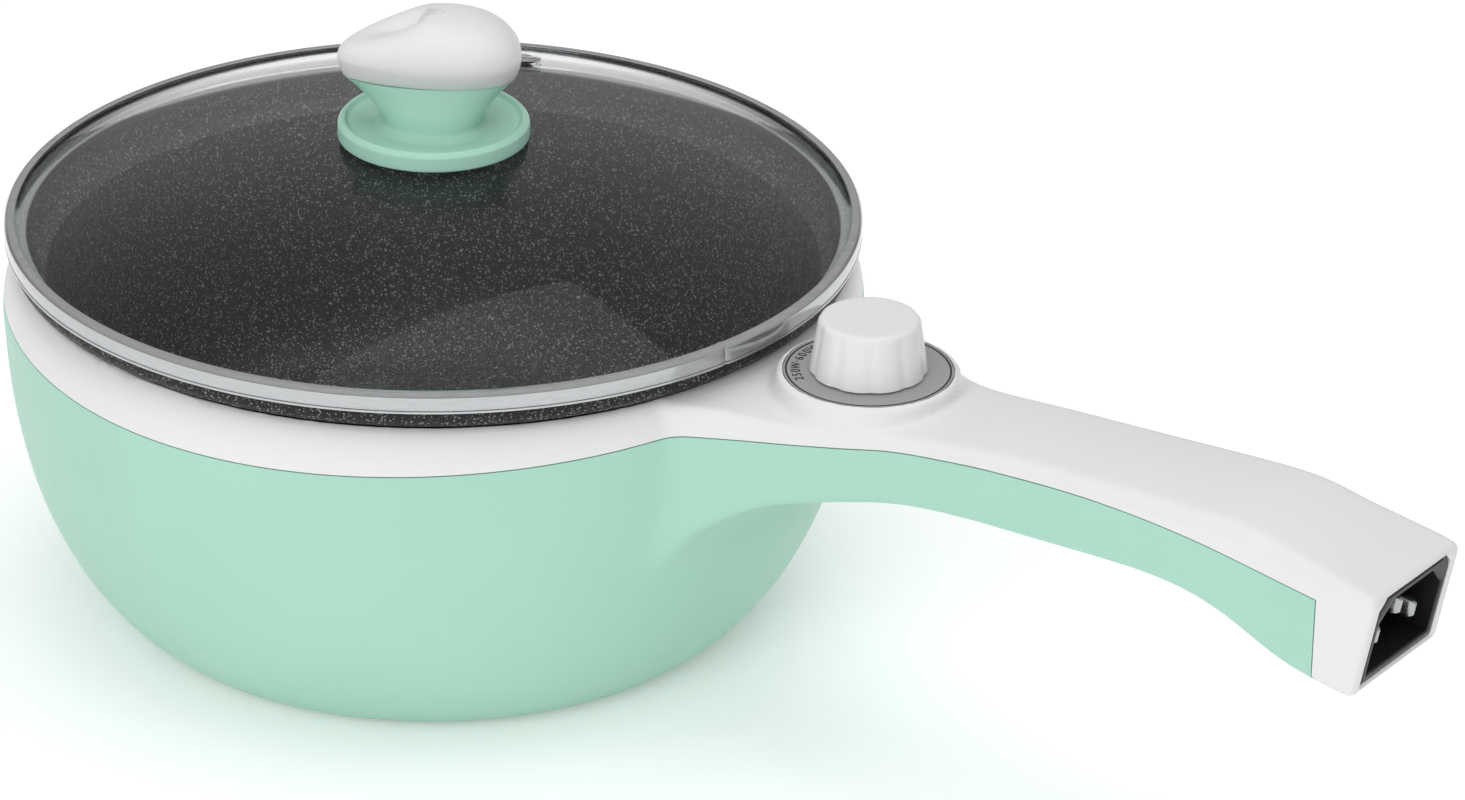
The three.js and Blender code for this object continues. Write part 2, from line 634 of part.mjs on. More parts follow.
for (const [name, { path, color }] of Object.entries(wires)) {
  add(name, tube(path, WIRE_R, 3 * path.length, 6), color);
}
const clampFloor = heightAt(handleBottom, 172) + HANDLE_WALL + GAP;
add("wire_clamp", block([169, -12, clampFloor], [175, 12, clampFloor + 2]), look.black);

// ---------- Lid: glass dome, steel band, steam vent and knob ----------

const domeRise = GLASS_APEX_Z - GLASS_EDGE_Z;
const DOME_R = (GLASS_R ** 2 + domeRise ** 2) / (2 * domeRise);
const domeZ = (r) => GLASS_APEX_Z - DOME_R + Math.sqrt(DOME_R ** 2 - r ** 2);

function glassDome() {
  const top = [];
  for (let i = 0; i <= 6; i++) {
    const r = THREE.MathUtils.lerp(GLASS_SCREW_HOLE_R, GLASS_R, i / 6);
    top.push(new THREE.Vector2(r, domeZ(r)));
  }
  const under = top.map((p) => new THREE.Vector2(p.x, p.y - GLASS_THICK)).reverse();
  return turned([...top, ...under]);
}

const ventTilt = Math.asin(VENT_R_FROM_AXIS / DOME_R);
const ventPose = new THREE.Matrix4()
  .makeRotationFromEuler(new THREE.Euler(0, ventTilt, radians(VENT_AZIMUTH), "ZYX"))
  .setPosition(around(VENT_R_FROM_AXIS, VENT_AZIMUTH, domeZ(VENT_R_FROM_AXIS)));
const ventHole = rod(3, -8, 4, { sides: 16 }).transform([...ventPose.elements]);
add("lid_glass", glassDome().subtract(ventHole), look.glass);

const vent = new THREE.Group();
vent.applyMatrix4(ventPose);
hotPot.add(vent);
const eyelet = turned(
  [[1.4, -3.9], [2.6, -3.9], [2.6, 0.4], [4.6, 0.4], [4.2, 1.1], [1.9, 1.3], [1.4, 0.8]],
  16,
);
add("steam_vent_eyelet", eyelet, look.steel, vent);

const bandBottom = POT_RIM_Z + GAP;
const bandInnerTop = BAND_R - 2.3;
const lidBand = turned([
  [BAND_R, bandBottom],
  [BAND_R, BAND_TOP_Z - 0.5],
  [BAND_R - 0.5, BAND_TOP_Z],
  [bandInnerTop, BAND_TOP_Z],
  [bandInnerTop, BAND_TOP_Z - 0.4],
  [BAND_R - BAND_SHEET, BAND_TOP_Z - 1.1],
  [BAND_R - BAND_SHEET, bandBottom + 0.7],
  [86.3, bandBottom + 0.7],
  [86.3, 84],
  [87.1, 84],
  [87.1, bandBottom],
]);
add("lid_band", lidBand, look.steel);

// The convex solid round level ovals of [half length, half depth, height], turned to the knob's azimuth.
function ovalBody(ovals) {
  const slices = ovals.map(([a, b, z], i) => {
    const z0 = i === 0 ? z : z - OVAL_SLICE;
    return rod(1, z0, z0 + OVAL_SLICE, { sides: 32 }).scale([a, b, 1]);
  });
  return wasm.Manifold.hull(slices).rotate([0, 0, LID_KNOB_AZIMUTH]);
}

const knobFlange = turned(
  [
    [0, LID_KNOB_PLATE_Z[0]],
    [LID_KNOB_SKIRT_R, LID_KNOB_PLATE_Z[0]],
    [LID_KNOB_SKIRT_R, LID_KNOB_BOTTOM_Z],
    [LID_KNOB_R, LID_KNOB_BOTTOM_Z],
    [LID_KNOB_R, 109.8],
    [LID_KNOB_R - 0.9, LID_KNOB_RIM_Z],
    [LID_KNOB_R - 2, LID_KNOB_RIM_Z],
    [12.5, LID_KNOB_PLATE_Z[1]],
    [0, LID_KNOB_PLATE_Z[1]],
  ],
  32,
);
const neck = [0, 1].map((i) => ovalBody(NECK_OVALS.slice(i, i + 2)));
const screwHole = rod(LID_SCREW.holeR, 100, LID_SCREW.holeTop, { sides: 16 });
add("lid_knob_base", joined(knobFlange, ...neck).subtract(screwHole), look.mint);
add("lid_knob_cap", ovalBody(CAP_OVALS), look.white);

// A flat ring between two radii and two heights.
function flatRing([r0, r1], [z0, z1]) {
  return turned([[r0, z0], [r1, z0], [r1, z1], [r0, z1]], SMALL_SIDES);
}

add("lid_knob_gasket", flatRing(GASKET.r, GASKET.z), look.silicone);
const washerTop = GLASS_APEX_Z - GLASS_THICK - 2 * GAP;
const washer = flatRing(LID_WASHER.r, [washerTop - LID_WASHER.thick, washerTop]);
add("lid_knob_washer", washer, look.steel);
const lidScrew = joined(
  rod(4.4, washerTop - 3.8, washerTop - 1.5, { topR: 4.8, sides: 16 }),
  rod(LID_SCREW.r, washerTop - 2, LID_SCREW.top, { sides: SCREW_SIDES }),
).subtract(block([-3, -0.5, washerTop - 5], [3, 0.5, washerTop - 2.8]));
add("lid_knob_screw", lidScrew, look.steel);

export default hotPot;
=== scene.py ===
from math import asin, cos, pi, radians, sin

import bpy
import numpy as np
from mathutils import Matrix, Vector


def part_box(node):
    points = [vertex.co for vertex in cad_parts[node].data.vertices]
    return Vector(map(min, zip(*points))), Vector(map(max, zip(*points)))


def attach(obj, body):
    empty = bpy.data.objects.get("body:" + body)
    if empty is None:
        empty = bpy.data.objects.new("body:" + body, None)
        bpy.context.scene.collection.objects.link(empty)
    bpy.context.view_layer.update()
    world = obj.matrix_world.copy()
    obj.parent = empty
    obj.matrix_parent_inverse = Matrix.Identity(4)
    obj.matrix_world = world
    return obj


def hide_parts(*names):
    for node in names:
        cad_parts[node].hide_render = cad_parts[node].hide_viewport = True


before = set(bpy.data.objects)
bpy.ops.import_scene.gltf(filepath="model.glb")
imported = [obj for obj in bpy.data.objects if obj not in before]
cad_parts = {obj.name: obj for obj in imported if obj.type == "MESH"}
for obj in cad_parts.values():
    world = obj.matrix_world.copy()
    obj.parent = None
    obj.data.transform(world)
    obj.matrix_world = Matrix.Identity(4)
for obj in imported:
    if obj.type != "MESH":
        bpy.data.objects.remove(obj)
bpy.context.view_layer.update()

# An electric hot pot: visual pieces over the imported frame. Lengths below are in millimetres and become metres
# when a mesh is made.
MM = 0.001
scene = bpy.context.scene


# ---------- Sizes taken from the frame ----------

def box_mm(node):
    low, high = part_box(node)
    return np.array(low) / MM, np.array(high) / MM


def middle(node):
    low, high = box_mm(node)
    return (low + high) / 2


def bottom_of(node):
    return box_mm(node)[0][2]


def top_of(node):
    return box_mm(node)[1][2]


DIAL_X = middle("dial_plate")[0]
DIAL_TOP = top_of("dial_plate")
BOSS_TOP = DIAL_TOP + 0.1
BAND_TOP = top_of("lid_band")
KNOB_BOTTOM, KNOB_TOP = bottom_of("control_knob"), top_of("control_knob")
INLET_X, INLET_Z = 242.3, 68.9  # origin of the frame that the mains inlet sits in
INLET_TILT = radians(10.85)
INLET_HALF = (13.5, 9.9)  # half width and half height


# ---------- Meshes ----------

def uniform_spline(points, steps):
    """Points along a uniform Catmull-Rom curve."""
    p = np.array(points, float)
    n = len(p)
    out = []
    for t in np.linspace(0, n - 1, steps):
        i = min(int(t), n - 2)
        w = t - i
        a, b, c, d = p[max(i - 1, 0)], p[i], p[i + 1], p[min(i + 2, n - 1)]
        v0, v1 = (c - a) / 2, (d - b) / 2
        out.append((2 * b - 2 * c + v0 + v1) * w**3 + (-3 * b + 3 * c - 2 * v0 - v1) * w**2 + v0 * w + b)
    return np.array(out)


def fillet(points, radii, steps=5, closed=True):
    """The polygon with each corner rounded. radii is one radius or one per corner."""
    p = [np.array(q, float) for q in points]
    n = len(p)
    radii = [radii] * n if np.isscalar(radii) else radii
    out = []
    for i in range(n):
        r = radii[i]
        if r <= 0 or (not closed and i in (0, n - 1)):
            out.append(p[i])
            continue
        a, b = p[i - 1] - p[i], p[(i + 1) % n] - p[i]
        la, lb = np.linalg.norm(a), np.linalg.norm(b)
        a, b = a / la, b / lb
        half = np.arccos(np.clip(a @ b, -1, 1)) / 2
        if half > 1.54:
            out.append(p[i])
            continue
        reach = min(r / np.tan(half), 0.48 * la, 0.48 * lb)
        r = reach * np.tan(half)
        centre = p[i] + (a + b) / np.linalg.norm(a + b) * (r / np.sin(half))
        start, end = p[i] + a * reach - centre, p[i] + b * reach - centre
        sweep = pi - 2 * half
        for k in range(steps + 1):
            w = k / steps
            s0, s1 = np.sin((1 - w) * sweep), np.sin(w * sweep)
            out.append(centre + (start * s0 + end * s1) / np.sin(sweep))
    return np.array(out)


def finish_mesh(mesh, angle=32):
    mesh.polygons.foreach_set("use_smooth", [True] * len(mesh.polygons))
    mesh.set_sharp_from_angle(angle=radians(angle))
    mesh.update()


def enclosed(vertices, faces):
    """Six times the signed volume inside the faces."""
    fans = [(f[0], f[k], f[k + 1]) for f in faces for k in range(1, len(f) - 1)]
    a, b, c = (vertices[i] for i in np.array(fans).T)
    return float((a * np.cross(b, c)).sum())


def new_object(name, vertices, faces, angle=32):
    """A mesh object from points in millimetres, with its faces turned outwards."""
    vertices = np.asarray(vertices, float)
    faces = [list(f) for f in faces]
    if enclosed(vertices, faces) < 0:
        faces = [f[::-1] for f in faces]
    mesh = bpy.data.meshes.new(name)
    mesh.from_pydata([tuple(v) for v in vertices * MM], [], faces)
    mesh.validate()
    finish_mesh(mesh, angle)
    obj = bpy.data.objects.new(name, mesh)
    scene.collection.objects.link(obj)
    return obj


def lathe_data(profile, sides, shape=None):
    """Vertices and faces of a closed [radius, z] profile turned about Z. shape may move the vertices."""
    profile = np.array(profile, float)
    r, z = profile.T
    area = 0.5 * np.sum(r * np.roll(z, -1) - np.roll(r, -1) * z)
    if area < 0:
        profile = profile[::-1]
    angles = np.arange(sides) * 2 * pi / sides
    vertices, rows = [], []
    for r, z in profile:
        if r < 1e-6:
            rows.append([len(vertices)] * sides)
            vertices.append((0, 0, z))
        else:
            rows.append(list(range(len(vertices), len(vertices) + sides)))
            vertices += [(r * cos(a), r * sin(a), z) for a in angles]
    vertices = np.array(vertices, float)
    if shape:
        vertices = shape(vertices)
    faces = []
    for i in range(len(rows)):
        low, high = rows[i], rows[(i + 1) % len(rows)]
        if profile[i][0] < 1e-6 and profile[(i + 1) % len(rows)][0] < 1e-6:
            continue
        for k in range(sides):
            m = (k + 1) % sides
            face = [low[k], low[m], high[m], high[k]]
            face = [v for j, v in enumerate(face) if v != face[j - 1]]
            faces.append(face)
    return vertices, faces


def lathe(name, profile, sides=128, shape=None, at=(0, 0, 0), angle=32):
    vertices, faces = lathe_data(profile, sides, shape)
    return new_object(name, vertices + np.array(at, float), faces, angle)


def loft_data(rings):
    """A solid between the first and the last of several outlines that have the same number of points."""
    count = len(rings[0])
    vertices = np.concatenate([np.array(r, float) for r in rings])
    faces = []
    for i in range(len(rings) - 1):
        for k in range(count):
            m = (k + 1) % count
            faces.append([i * count + k, i * count + m, (i + 1) * count + m, (i + 1) * count + k])
    last = (len(rings) - 1) * count
    faces.append(list(range(count))[::-1])
    faces.append([last + k for k in range(count)])
    return vertices, faces


def loft(name, rings, angle=32):
    return new_object(name, *loft_data(rings), angle)


def prism(name, outline, y0, y1):
    """An outline in X and Z, listed anticlockwise as seen from -Y, between two values of Y."""
    return loft(name, [[(x, y1, z) for x, z in outline], [(x, y0, z) for x, z in outline]])


def combine(obj, cutters, angle=32):
    """Applies ("UNION" or "DIFFERENCE" or "INTERSECT", object) steps to obj and removes the cutters."""
    for operation, cutter in cutters:
        step = obj.modifiers.new("step", "BOOLEAN")
        step.operation = operation
        step.object = cutter
        step.solver = "MANIFOLD"
    depsgraph = bpy.context.evaluated_depsgraph_get()
    result = bpy.data.meshes.new_from_object(obj.evaluated_get(depsgraph))
    obj.modifiers.clear()
    old = obj.data
    obj.data = result
    result.name = obj.name
    bpy.data.meshes.remove(old)
    for cutter in {c.name: c for _, c in cutters}.values():
        used = cutter.data
        bpy.data.objects.remove(cutter)
        bpy.data.meshes.remove(used)
    finish_mesh(obj.data, angle)
    return obj


def copy_of(obj, name):
    twin = bpy.data.objects.new(name, obj.data.copy())
    scene.collection.objects.link(twin)
    return twin


def joined(name, parts):
    """One object from several, with their transforms applied."""
    vertices, faces = [], []
    for part in parts:
        base = len(vertices)
        vertices += [part.matrix_basis @ v.co / MM for v in part.data.vertices]
        faces += [[base + v for v in f.vertices] for f in part.data.polygons]
        used = part.data
        bpy.data.objects.remove(part)
        bpy.data.meshes.remove(used)
    return new_object(name, [tuple(v) for v in vertices], faces)


# ---------- Smooth solids from distance fields ----------

def surface_net(name, field, xs, ys, zs, angle=32):
    """The zero surface of field over a rectilinear grid, with its vertices moved onto the surface."""
    grid = np.meshgrid(xs, ys, zs, indexing="ij")
    value = field(*grid)
    inside = value < 0
    shape = [n - 1 for n in value.shape]

    def at_corner(array, c):
        return array[c[0]:c[0] + shape[0], c[1]:c[1] + shape[1], c[2]:c[2] + shape[2]]

    corners = [(i, j, k) for i in (0, 1) for j in (0, 1) for k in (0, 1)]
    total = sum(at_corner(inside, c).astype(np.int8) for c in corners)
    active = (total > 0) & (total < 8)
    index = np.full(active.shape, -1, np.int64)
    index[active] = np.arange(active.sum())
    place = np.zeros((active.sum(), 3))
    hits = np.zeros(active.sum())
    for a in corners:
        for axis in range(3):
            if a[axis]:
                continue
            b = tuple(1 if i == axis else a[i] for i in range(3))
            fa, fb = at_corner(value, a)[active], at_corner(value, b)[active]
            crossed = (fa < 0) != (fb < 0)
            t = np.where(crossed, fa / np.where(crossed, fa - fb, 1), 0)
            for i in range(3):
                pa, pb = at_corner(grid[i], a)[active], at_corner(grid[i], b)[active]
                place[:, i] += np.where(crossed, pa + t * (pb - pa), 0)
            hits += crossed
    place /= hits[:, None]
    for _ in range(3):
        f = field(*place.T)
        nudges = 0.04 * np.eye(3)
        slope = np.stack([(field(*(place + e).T) - field(*(place - e).T)) / 0.08 for e in nudges], 1)
        move = f[:, None] * slope / np.maximum((slope**2).sum(1), 0.2)[:, None]
        length = np.linalg.norm(move, axis=1, keepdims=True)
        place -= move * np.minimum(1, 0.8 / np.maximum(length, 1e-9))
    faces = []
    for axis in range(3):
        u, v = (axis + 1) % 3, (axis + 2) % 3
        low = [slice(1, -1)] * 3
        high = [slice(1, -1)] * 3
        low[axis], high[axis] = slice(0, -1), slice(1, None)
        first, second = inside[tuple(low)], inside[tuple(high)]
        where = np.argwhere(first != second)
        start = np.zeros(3, int)
        start[u] = start[v] = 1
        where = where + start
        outward = first[first != second]
        quads = []
        for du, dv in ((-1, -1), (0, -1), (0, 0), (-1, 0)):
            cell = where.copy()
            cell[:, u] += du
            cell[:, v] += dv
            quads.append(index[tuple(cell.T)])
        quads = np.stack(quads, 1)
        quads[~outward] = quads[~outward][:, ::-1]
        faces.append(quads)
    return new_object(name, place, np.concatenate(faces).tolist(), angle)


def smooth_min(a, b, k):
    h = np.maximum(k - np.abs(a - b), 0) / k
    return np.minimum(a, b) - h * h * k / 4


def rounded_and(radius, *distances):
    """The intersection of half spaces, with an edge radius where they meet."""
    moved = [d + radius for d in distances]
    outside = np.sqrt(sum(np.maximum(m, 0) ** 2 for m in moved))
    return outside + np.minimum(np.maximum.reduce(moved), 0) - radius


# ---------- Casing ----------

SHELL_WALL = 2.4
HANDLE_WALL = 2.2
BODY_WIDEST = [92.3, 69]
SHOULDER_CORNER = [92.3, 77.5]
SHOULDER_TOP = [87.9, 80.8]
BOWL = [(67.4, 1.5), (73.8, 7.6), (80.8, 18), (86.9, 32.6), (90.8, 50.6), BODY_WIDEST]
BOWL_STEPS = 90
BASE_OPENING_R = 62
BASE_COVER_TOP = 3.9
COLLAR_R = 88.2
POT_HOLE_R = 86.4
HANDLE_TOP = [
    (70, 80.4), (110, 80.7), (133, 81.8), (157, 84),
    (191, 86), (210, 86.6), (222, 84.9), (244.5, 79.9),
]
HANDLE_BOTTOM = [
    (80, 40), (91, 51.5), (104, 60), (120, 64), (140, 66.2),
    (165, 67.1), (192, 68), (207, 65.7), (224, 59.3), (240.1, 56.9),
]
HANDLE_HALF = [
    (70, 36), (98, 27.6), (110, 24.3), (121, 20.2), (132, 16.8),
    (145, 15.8), (172, 15.3), (200, 15.9), (225, 16.5), (248, 16.6),
]
SEAM_LOW = 70.6
SEAM_RISE = 0.00045  # per square millimetre along X
SEAM_END_X = 231
SEAM_ON_HANDLE = [(110, 76.4), (135, 78.6), (155, 80.4), (180, 81.3), (203, 80.2), (SEAM_END_X, 76.5)]
SEAM_GAP = 0.25
BOSS_R = 18.8
DIAL_R = 17.5
BUSHING_HOLE_R = 4.9
POST_R = 4.6
POST_JOINT = 76
SCREW_HEAD_R = 3.3
SCREW_HOLE_R = 1.8

bowl_line = uniform_spline(BOWL, BOWL_STEPS)
ts = np.linspace(0, 1, 24)[1:, None]
shoulder_line = (1 - ts) ** 2 * BODY_WIDEST + 2 * ts * (1 - ts) * SHOULDER_CORNER + ts**2 * SHOULDER_TOP
body_line = np.concatenate([bowl_line, shoulder_line])
top_line = uniform_spline(HANDLE_TOP, 160)
bottom_line = uniform_spline(HANDLE_BOTTOM, 160)
half_line = uniform_spline(HANDLE_HALF, 160)


def profile_field(line):
    """The signed distance to the body of revolution inside a [radius, z] line, looked up in a table."""
    step, lowest = 0.5, -30
    whole_line = np.concatenate([[[0, line[0][1]]], line, [[0, line[-1][1]]]])
    rs, zs = np.arange(0, 300, step), np.arange(lowest, 125, step)
    r, z = np.meshgrid(rs, zs, indexing="ij")
    best = np.full(r.shape, 1e9)
    inside = np.zeros(r.shape, bool)
    for (r0, z0), (r1, z1) in zip(whole_line[:-1], whole_line[1:]):
        dr, dz = r1 - r0, z1 - z0
        t = np.clip(((r - r0) * dr + (z - z0) * dz) / max(dr * dr + dz * dz, 1e-12), 0, 1)
        best = np.minimum(best, (r - r0 - t * dr) ** 2 + (z - z0 - t * dz) ** 2)
        if abs(dz) > 1e-9:
            crosses = ((z0 > z) != (z1 > z)) & (r < r0 + (z - z0) * dr / dz)
            inside ^= crosses
    table = np.sqrt(best) * np.where(inside, -1, 1)

    def lookup(radius, height):
        i = np.clip(radius / step, 0, len(rs) - 1.001)
        j = np.clip((height - lowest) / step, 0, len(zs) - 1.001)
        i0, j0 = i.astype(int), j.astype(int)
        a, b = i - i0, j - j0
        return ((1 - a) * (1 - b) * table[i0, j0] + a * (1 - b) * table[i0 + 1, j0]
                + (1 - a) * b * table[i0, j0 + 1] + a * b * table[i0 + 1, j0 + 1])

    return lookup


body_field = profile_field(body_line)


def handle_field(x, y, z, inset=0.0):
    """The handle, with a crowned top and rounded edges, or the plain hollow that is inset in it."""
    crown = 0.9 * (y / 16) ** 2 * np.interp(x, [95, 130, 225, 240], [0, 1, 1, 0.3])
    top = np.interp(x, *top_line.T) - crown
    bottom = np.interp(x, *bottom_line.T)
    slope = np.interp(x, bottom_line[1:, 0], np.diff(bottom_line[:, 1]) / np.diff(bottom_line[:, 0]))
    half = np.interp(x, *half_line.T)
    side = np.abs(y) - half
    over, under = z - top, (bottom - z) / np.sqrt(1 + slope**2)
    end = (x - INLET_X) * cos(INLET_TILT) - (z - INLET_Z) * sin(INLET_TILT)
    radius = np.interp(x, [120, 150, 224, 240], [2.4, 3.4, 3.2, 1.8])
    if inset:
        return np.maximum.reduce([side, over, under, end + 3]) + inset
    return np.maximum(rounded_and(radius, side, np.maximum(over, under), end), 62 - x)


def boss_field(x, y, z):
    r = np.hypot(x - DIAL_X, y)
    return rounded_and(1.1, r - BOSS_R - (BOSS_TOP - z) * 0.22, z - BOSS_TOP, 72 - z)


def casing_field(x, y, z):
    body = body_field(np.hypot(x, y), z)
    k = np.interp(z, [50, 66, 79], [4.5, 5.5, 1.2])
    whole = smooth_min(body, handle_field(x, y, z), k)
    return smooth_min(whole, boss_field(x, y, z), np.interp(z, [74, 82], [5, 1.6]))


def grid_line(*stretches):
    parts = [np.arange(a, b, step) for a, b, step in stretches]
    return np.concatenate(parts + [[stretches[-1][1]]])


casing = surface_net(
    "casing",
    casing_field,
    grid_line((-94, 88, 1.7), (88, 222, 1.15), (222, 248, 0.7)),
    grid_line((-94, -30, 1.7), (-30, 30, 1.0), (30, 94, 1.7)),
    grid_line((-1, 52, 1.7), (52, 88, 0.85)),
)
hollow = surface_net(
    "hollow",
    lambda x, y, z: np.maximum(handle_field(x, y, z, HANDLE_WALL), 76 - x),
    grid_line((70, 242, 2.0)),
    grid_line((-38, 38, 2.0)),
    grid_line((36, 90, 1.5)),
)


def offset_line(line, distance):
    along = np.gradient(line, axis=0)
    along /= np.linalg.norm(along, axis=1, keepdims=True)
    return line + np.stack([-along[:, 1], along[:, 0]], 1) * distance


inner_line = offset_line(body_line[:BOWL_STEPS + 12], SHELL_WALL)
inner_line = inner_line[inner_line[:, 1] > 4]
inside_profile = [
    (0, BASE_COVER_TOP), (66.5, BASE_COVER_TOP), *inner_line, (COLLAR_R, 77.8), (COLLAR_R, 74),
    (POT_HOLE_R, 74), (POT_HOLE_R, 79.4), (COLLAR_R, 81.1), (COLLAR_R, 95), (0, 95),
]


def rod(name, r, z0, z1, x=0, sides=48):
    return lathe(name, [(0, z0), (r, z0), (r, z1), (0, z1)], sides, at=(x, 0, 0))


def inlet_outline(inset):
    w, h = INLET_HALF[0] - inset, INLET_HALF[1] - inset
    c = np.interp(inset, [0, 1.6], [2.4, 4.8])
    outline = [(-w, -h), (w, -h), (w, h - c), (w - c, h), (c - w, h), (-w, h - c)]
    return fillet(outline, 0.6, 3)


inlet_turn = Matrix.Rotation(INLET_TILT, 3, "Y")


def from_inlet(points):
    """Points of the inlet's own frame, where X runs out of the end face, as points of the whole object."""
    return [tuple(inlet_turn @ Vector(p) + Vector((INLET_X, 0, INLET_Z))) for p in points]


def inlet_ring(inset, x):
    return from_inlet([(x, y, z) for y, z in inlet_outline(inset)])


pocket_rings = ((-0.25, -24), (-0.25, -0.5), (-1.0, 0.25), (-1.2, 5))
pocket = loft("pocket", [inlet_ring(*ring) for ring in pocket_rings])

combine(casing, [
    ("DIFFERENCE", lathe("inside", inside_profile, 160)),
    ("DIFFERENCE", hollow),
    ("DIFFERENCE", rod("base_opening", BASE_OPENING_R, -3, 5, sides=160)),
    ("DIFFERENCE", rod("under_boss", BOSS_R - 2.4, 70, BOSS_TOP - 2.9, DIAL_X, sides=96)),
    ("DIFFERENCE", rod("dial_recess", DIAL_R + 0.3, DIAL_TOP - 0.8, 90, DIAL_X, sides=160)),
    ("DIFFERENCE", rod("bushing_hole", BUSHING_HOLE_R, 70, 90, DIAL_X)),
    ("DIFFERENCE", pocket),
])


def seam_z(x):
    return SEAM_LOW + SEAM_RISE * x * x


def seam_solid(name, lift, above):
    """Everything above or below the line where the white and the coloured halves of the casing meet."""
    line = [(x, seam_z(x)) for x in np.arange(-100, 84.1, 4)]
    on_handle = uniform_spline([(88, seam_z(88))] + SEAM_ON_HANDLE, 60)
    line = [(x, z + lift) for x, z in line + [tuple(p) for p in on_handle]]
    end = SEAM_END_X + lift
    line[-1] = (end, line[-1][1])
    if above:
        outline = line + [(end, 30), (260, 30), (260, 100), (-100, 100)]
    else:
        outline = line + [(end, -5), (-100, -5)]
    return prism(name, np.array(outline), -100, 100)


upper = copy_of(casing, "housing_white")
lower = casing
lower.name = "shell_mint"
upper_steps = [("INTERSECT", seam_solid("seam", 0, True))]
lower_steps = [("INTERSECT", seam_solid("seam", -SEAM_GAP, False))]
for screw in ("handle_screw_1", "handle_screw_2"):
    x = middle(screw)[0]
    underside, ceiling = np.interp(x, *bottom_line.T), np.interp(x, *top_line.T)
    lower_steps += [
        ("UNION", rod("post", POST_R, underside + 1.2, POST_JOINT - 0.3, x)),
        ("DIFFERENCE", rod("head_hole", SCREW_HEAD_R, underside - 5, underside + 5, x)),
        ("DIFFERENCE", rod("screw_hole", SCREW_HOLE_R, underside - 5, 90, x)),
    ]
    upper_steps += [
        ("UNION", rod("post", POST_R, POST_JOINT, ceiling - 1.2, x)),
        ("DIFFERENCE", rod("screw_hole", SCREW_HOLE_R, POST_JOINT - 5, ceiling - 2.4, x)),
    ]
combine(upper, upper_steps)
combine(lower, lower_steps)


# ---------- Materials ----------

def node_tree(name):
    material = bpy.data.materials.new(name)
    material.use_nodes = True
    tree = material.node_tree
    return material, tree, tree.nodes["Principled BSDF"]


def noise(tree, scale, detail=3.0, rough=0.5, coord=None):
    coord = coord or tree.nodes.new("ShaderNodeTexCoord").outputs["Object"]
    tex = tree.nodes.new("ShaderNodeTexNoise")
    tex.inputs["Scale"].default_value = scale
    tex.inputs["Detail"].default_value = detail
    tex.inputs["Roughness"].default_value = rough
    tree.links.new(coord, tex.inputs["Vector"])
    return tex.outputs["Fac"]


def ramp(tree, fac, stops):
    node = tree.nodes.new("ShaderNodeValToRGB")
    while len(node.color_ramp.elements) < len(stops):
        node.color_ramp.elements.new(0.5)
    for element, (position, value) in zip(node.color_ramp.elements, stops):
        element.position = position
        element.color = (value, value, value, 1) if np.isscalar(value) else (*value, 1)
    tree.links.new(fac, node.inputs["Fac"])
    return node.outputs["Color"]


def bump(tree, bsdf, heights):
    """Adds bump layers of (height output, strength, distance in mm)."""
    previous = None
    for height, strength, distance in heights:
        node = tree.nodes.new("ShaderNodeBump")
        node.inputs["Strength"].default_value = strength
        node.inputs["Distance"].default_value = distance * MM
        tree.links.new(height, node.inputs["Height"])
        if previous:
            tree.links.new(previous, node.inputs["Normal"])
        previous = node.outputs["Normal"]
    tree.links.new(previous, bsdf.inputs["Normal"])


def scaled(color, factor):
    return tuple(min(1, c * factor) for c in color)


def plastic(name, color, rough=(0.3, 0.4), variation=0.03, grain=(1400, 0.12, 0.02)):
    material, tree, bsdf = node_tree(name)
    cloud = noise(tree, 22, 4)
    tint = ramp(tree, cloud, [(0.3, scaled(color, 1 - variation)), (0.7, scaled(color, 1 + variation))])
    tree.links.new(tint, bsdf.inputs["Base Color"])
    handled = noise(tree, 90, 6, 0.62)
    tree.links.new(ramp(tree, handled, [(0.3, rough[0]), (0.72, rough[1])]), bsdf.inputs["Roughness"])
    bump(tree, bsdf, [(noise(tree, grain[0], 2), grain[1], grain[2])])
    return material


def metal(name, color, rough=(0.15, 0.28), grain=(300, 0.05, 0.01), stretch=(1, 1, 12)):
    material, tree, bsdf = node_tree(name)
    mapping = tree.nodes.new("ShaderNodeMapping")
    mapping.inputs["Scale"].default_value = stretch
    tree.links.new(tree.nodes.new("ShaderNodeTexCoord").outputs["Object"], mapping.inputs["Vector"])
    brushed = noise(tree, grain[0], 4, 0.6, mapping.outputs["Vector"])
    bsdf.inputs["Metallic"].default_value = 1.0
    tint = ramp(tree, brushed, [(0.3, scaled(color, 0.9)), (0.7, scaled(color, 1.06))])
    tree.links.new(tint, bsdf.inputs["Base Color"])
    tree.links.new(ramp(tree, brushed, [(0.3, rough[0]), (0.7, rough[1])]), bsdf.inputs["Roughness"])
    bump(tree, bsdf, [(brushed, grain[1], grain[2])])
    return material


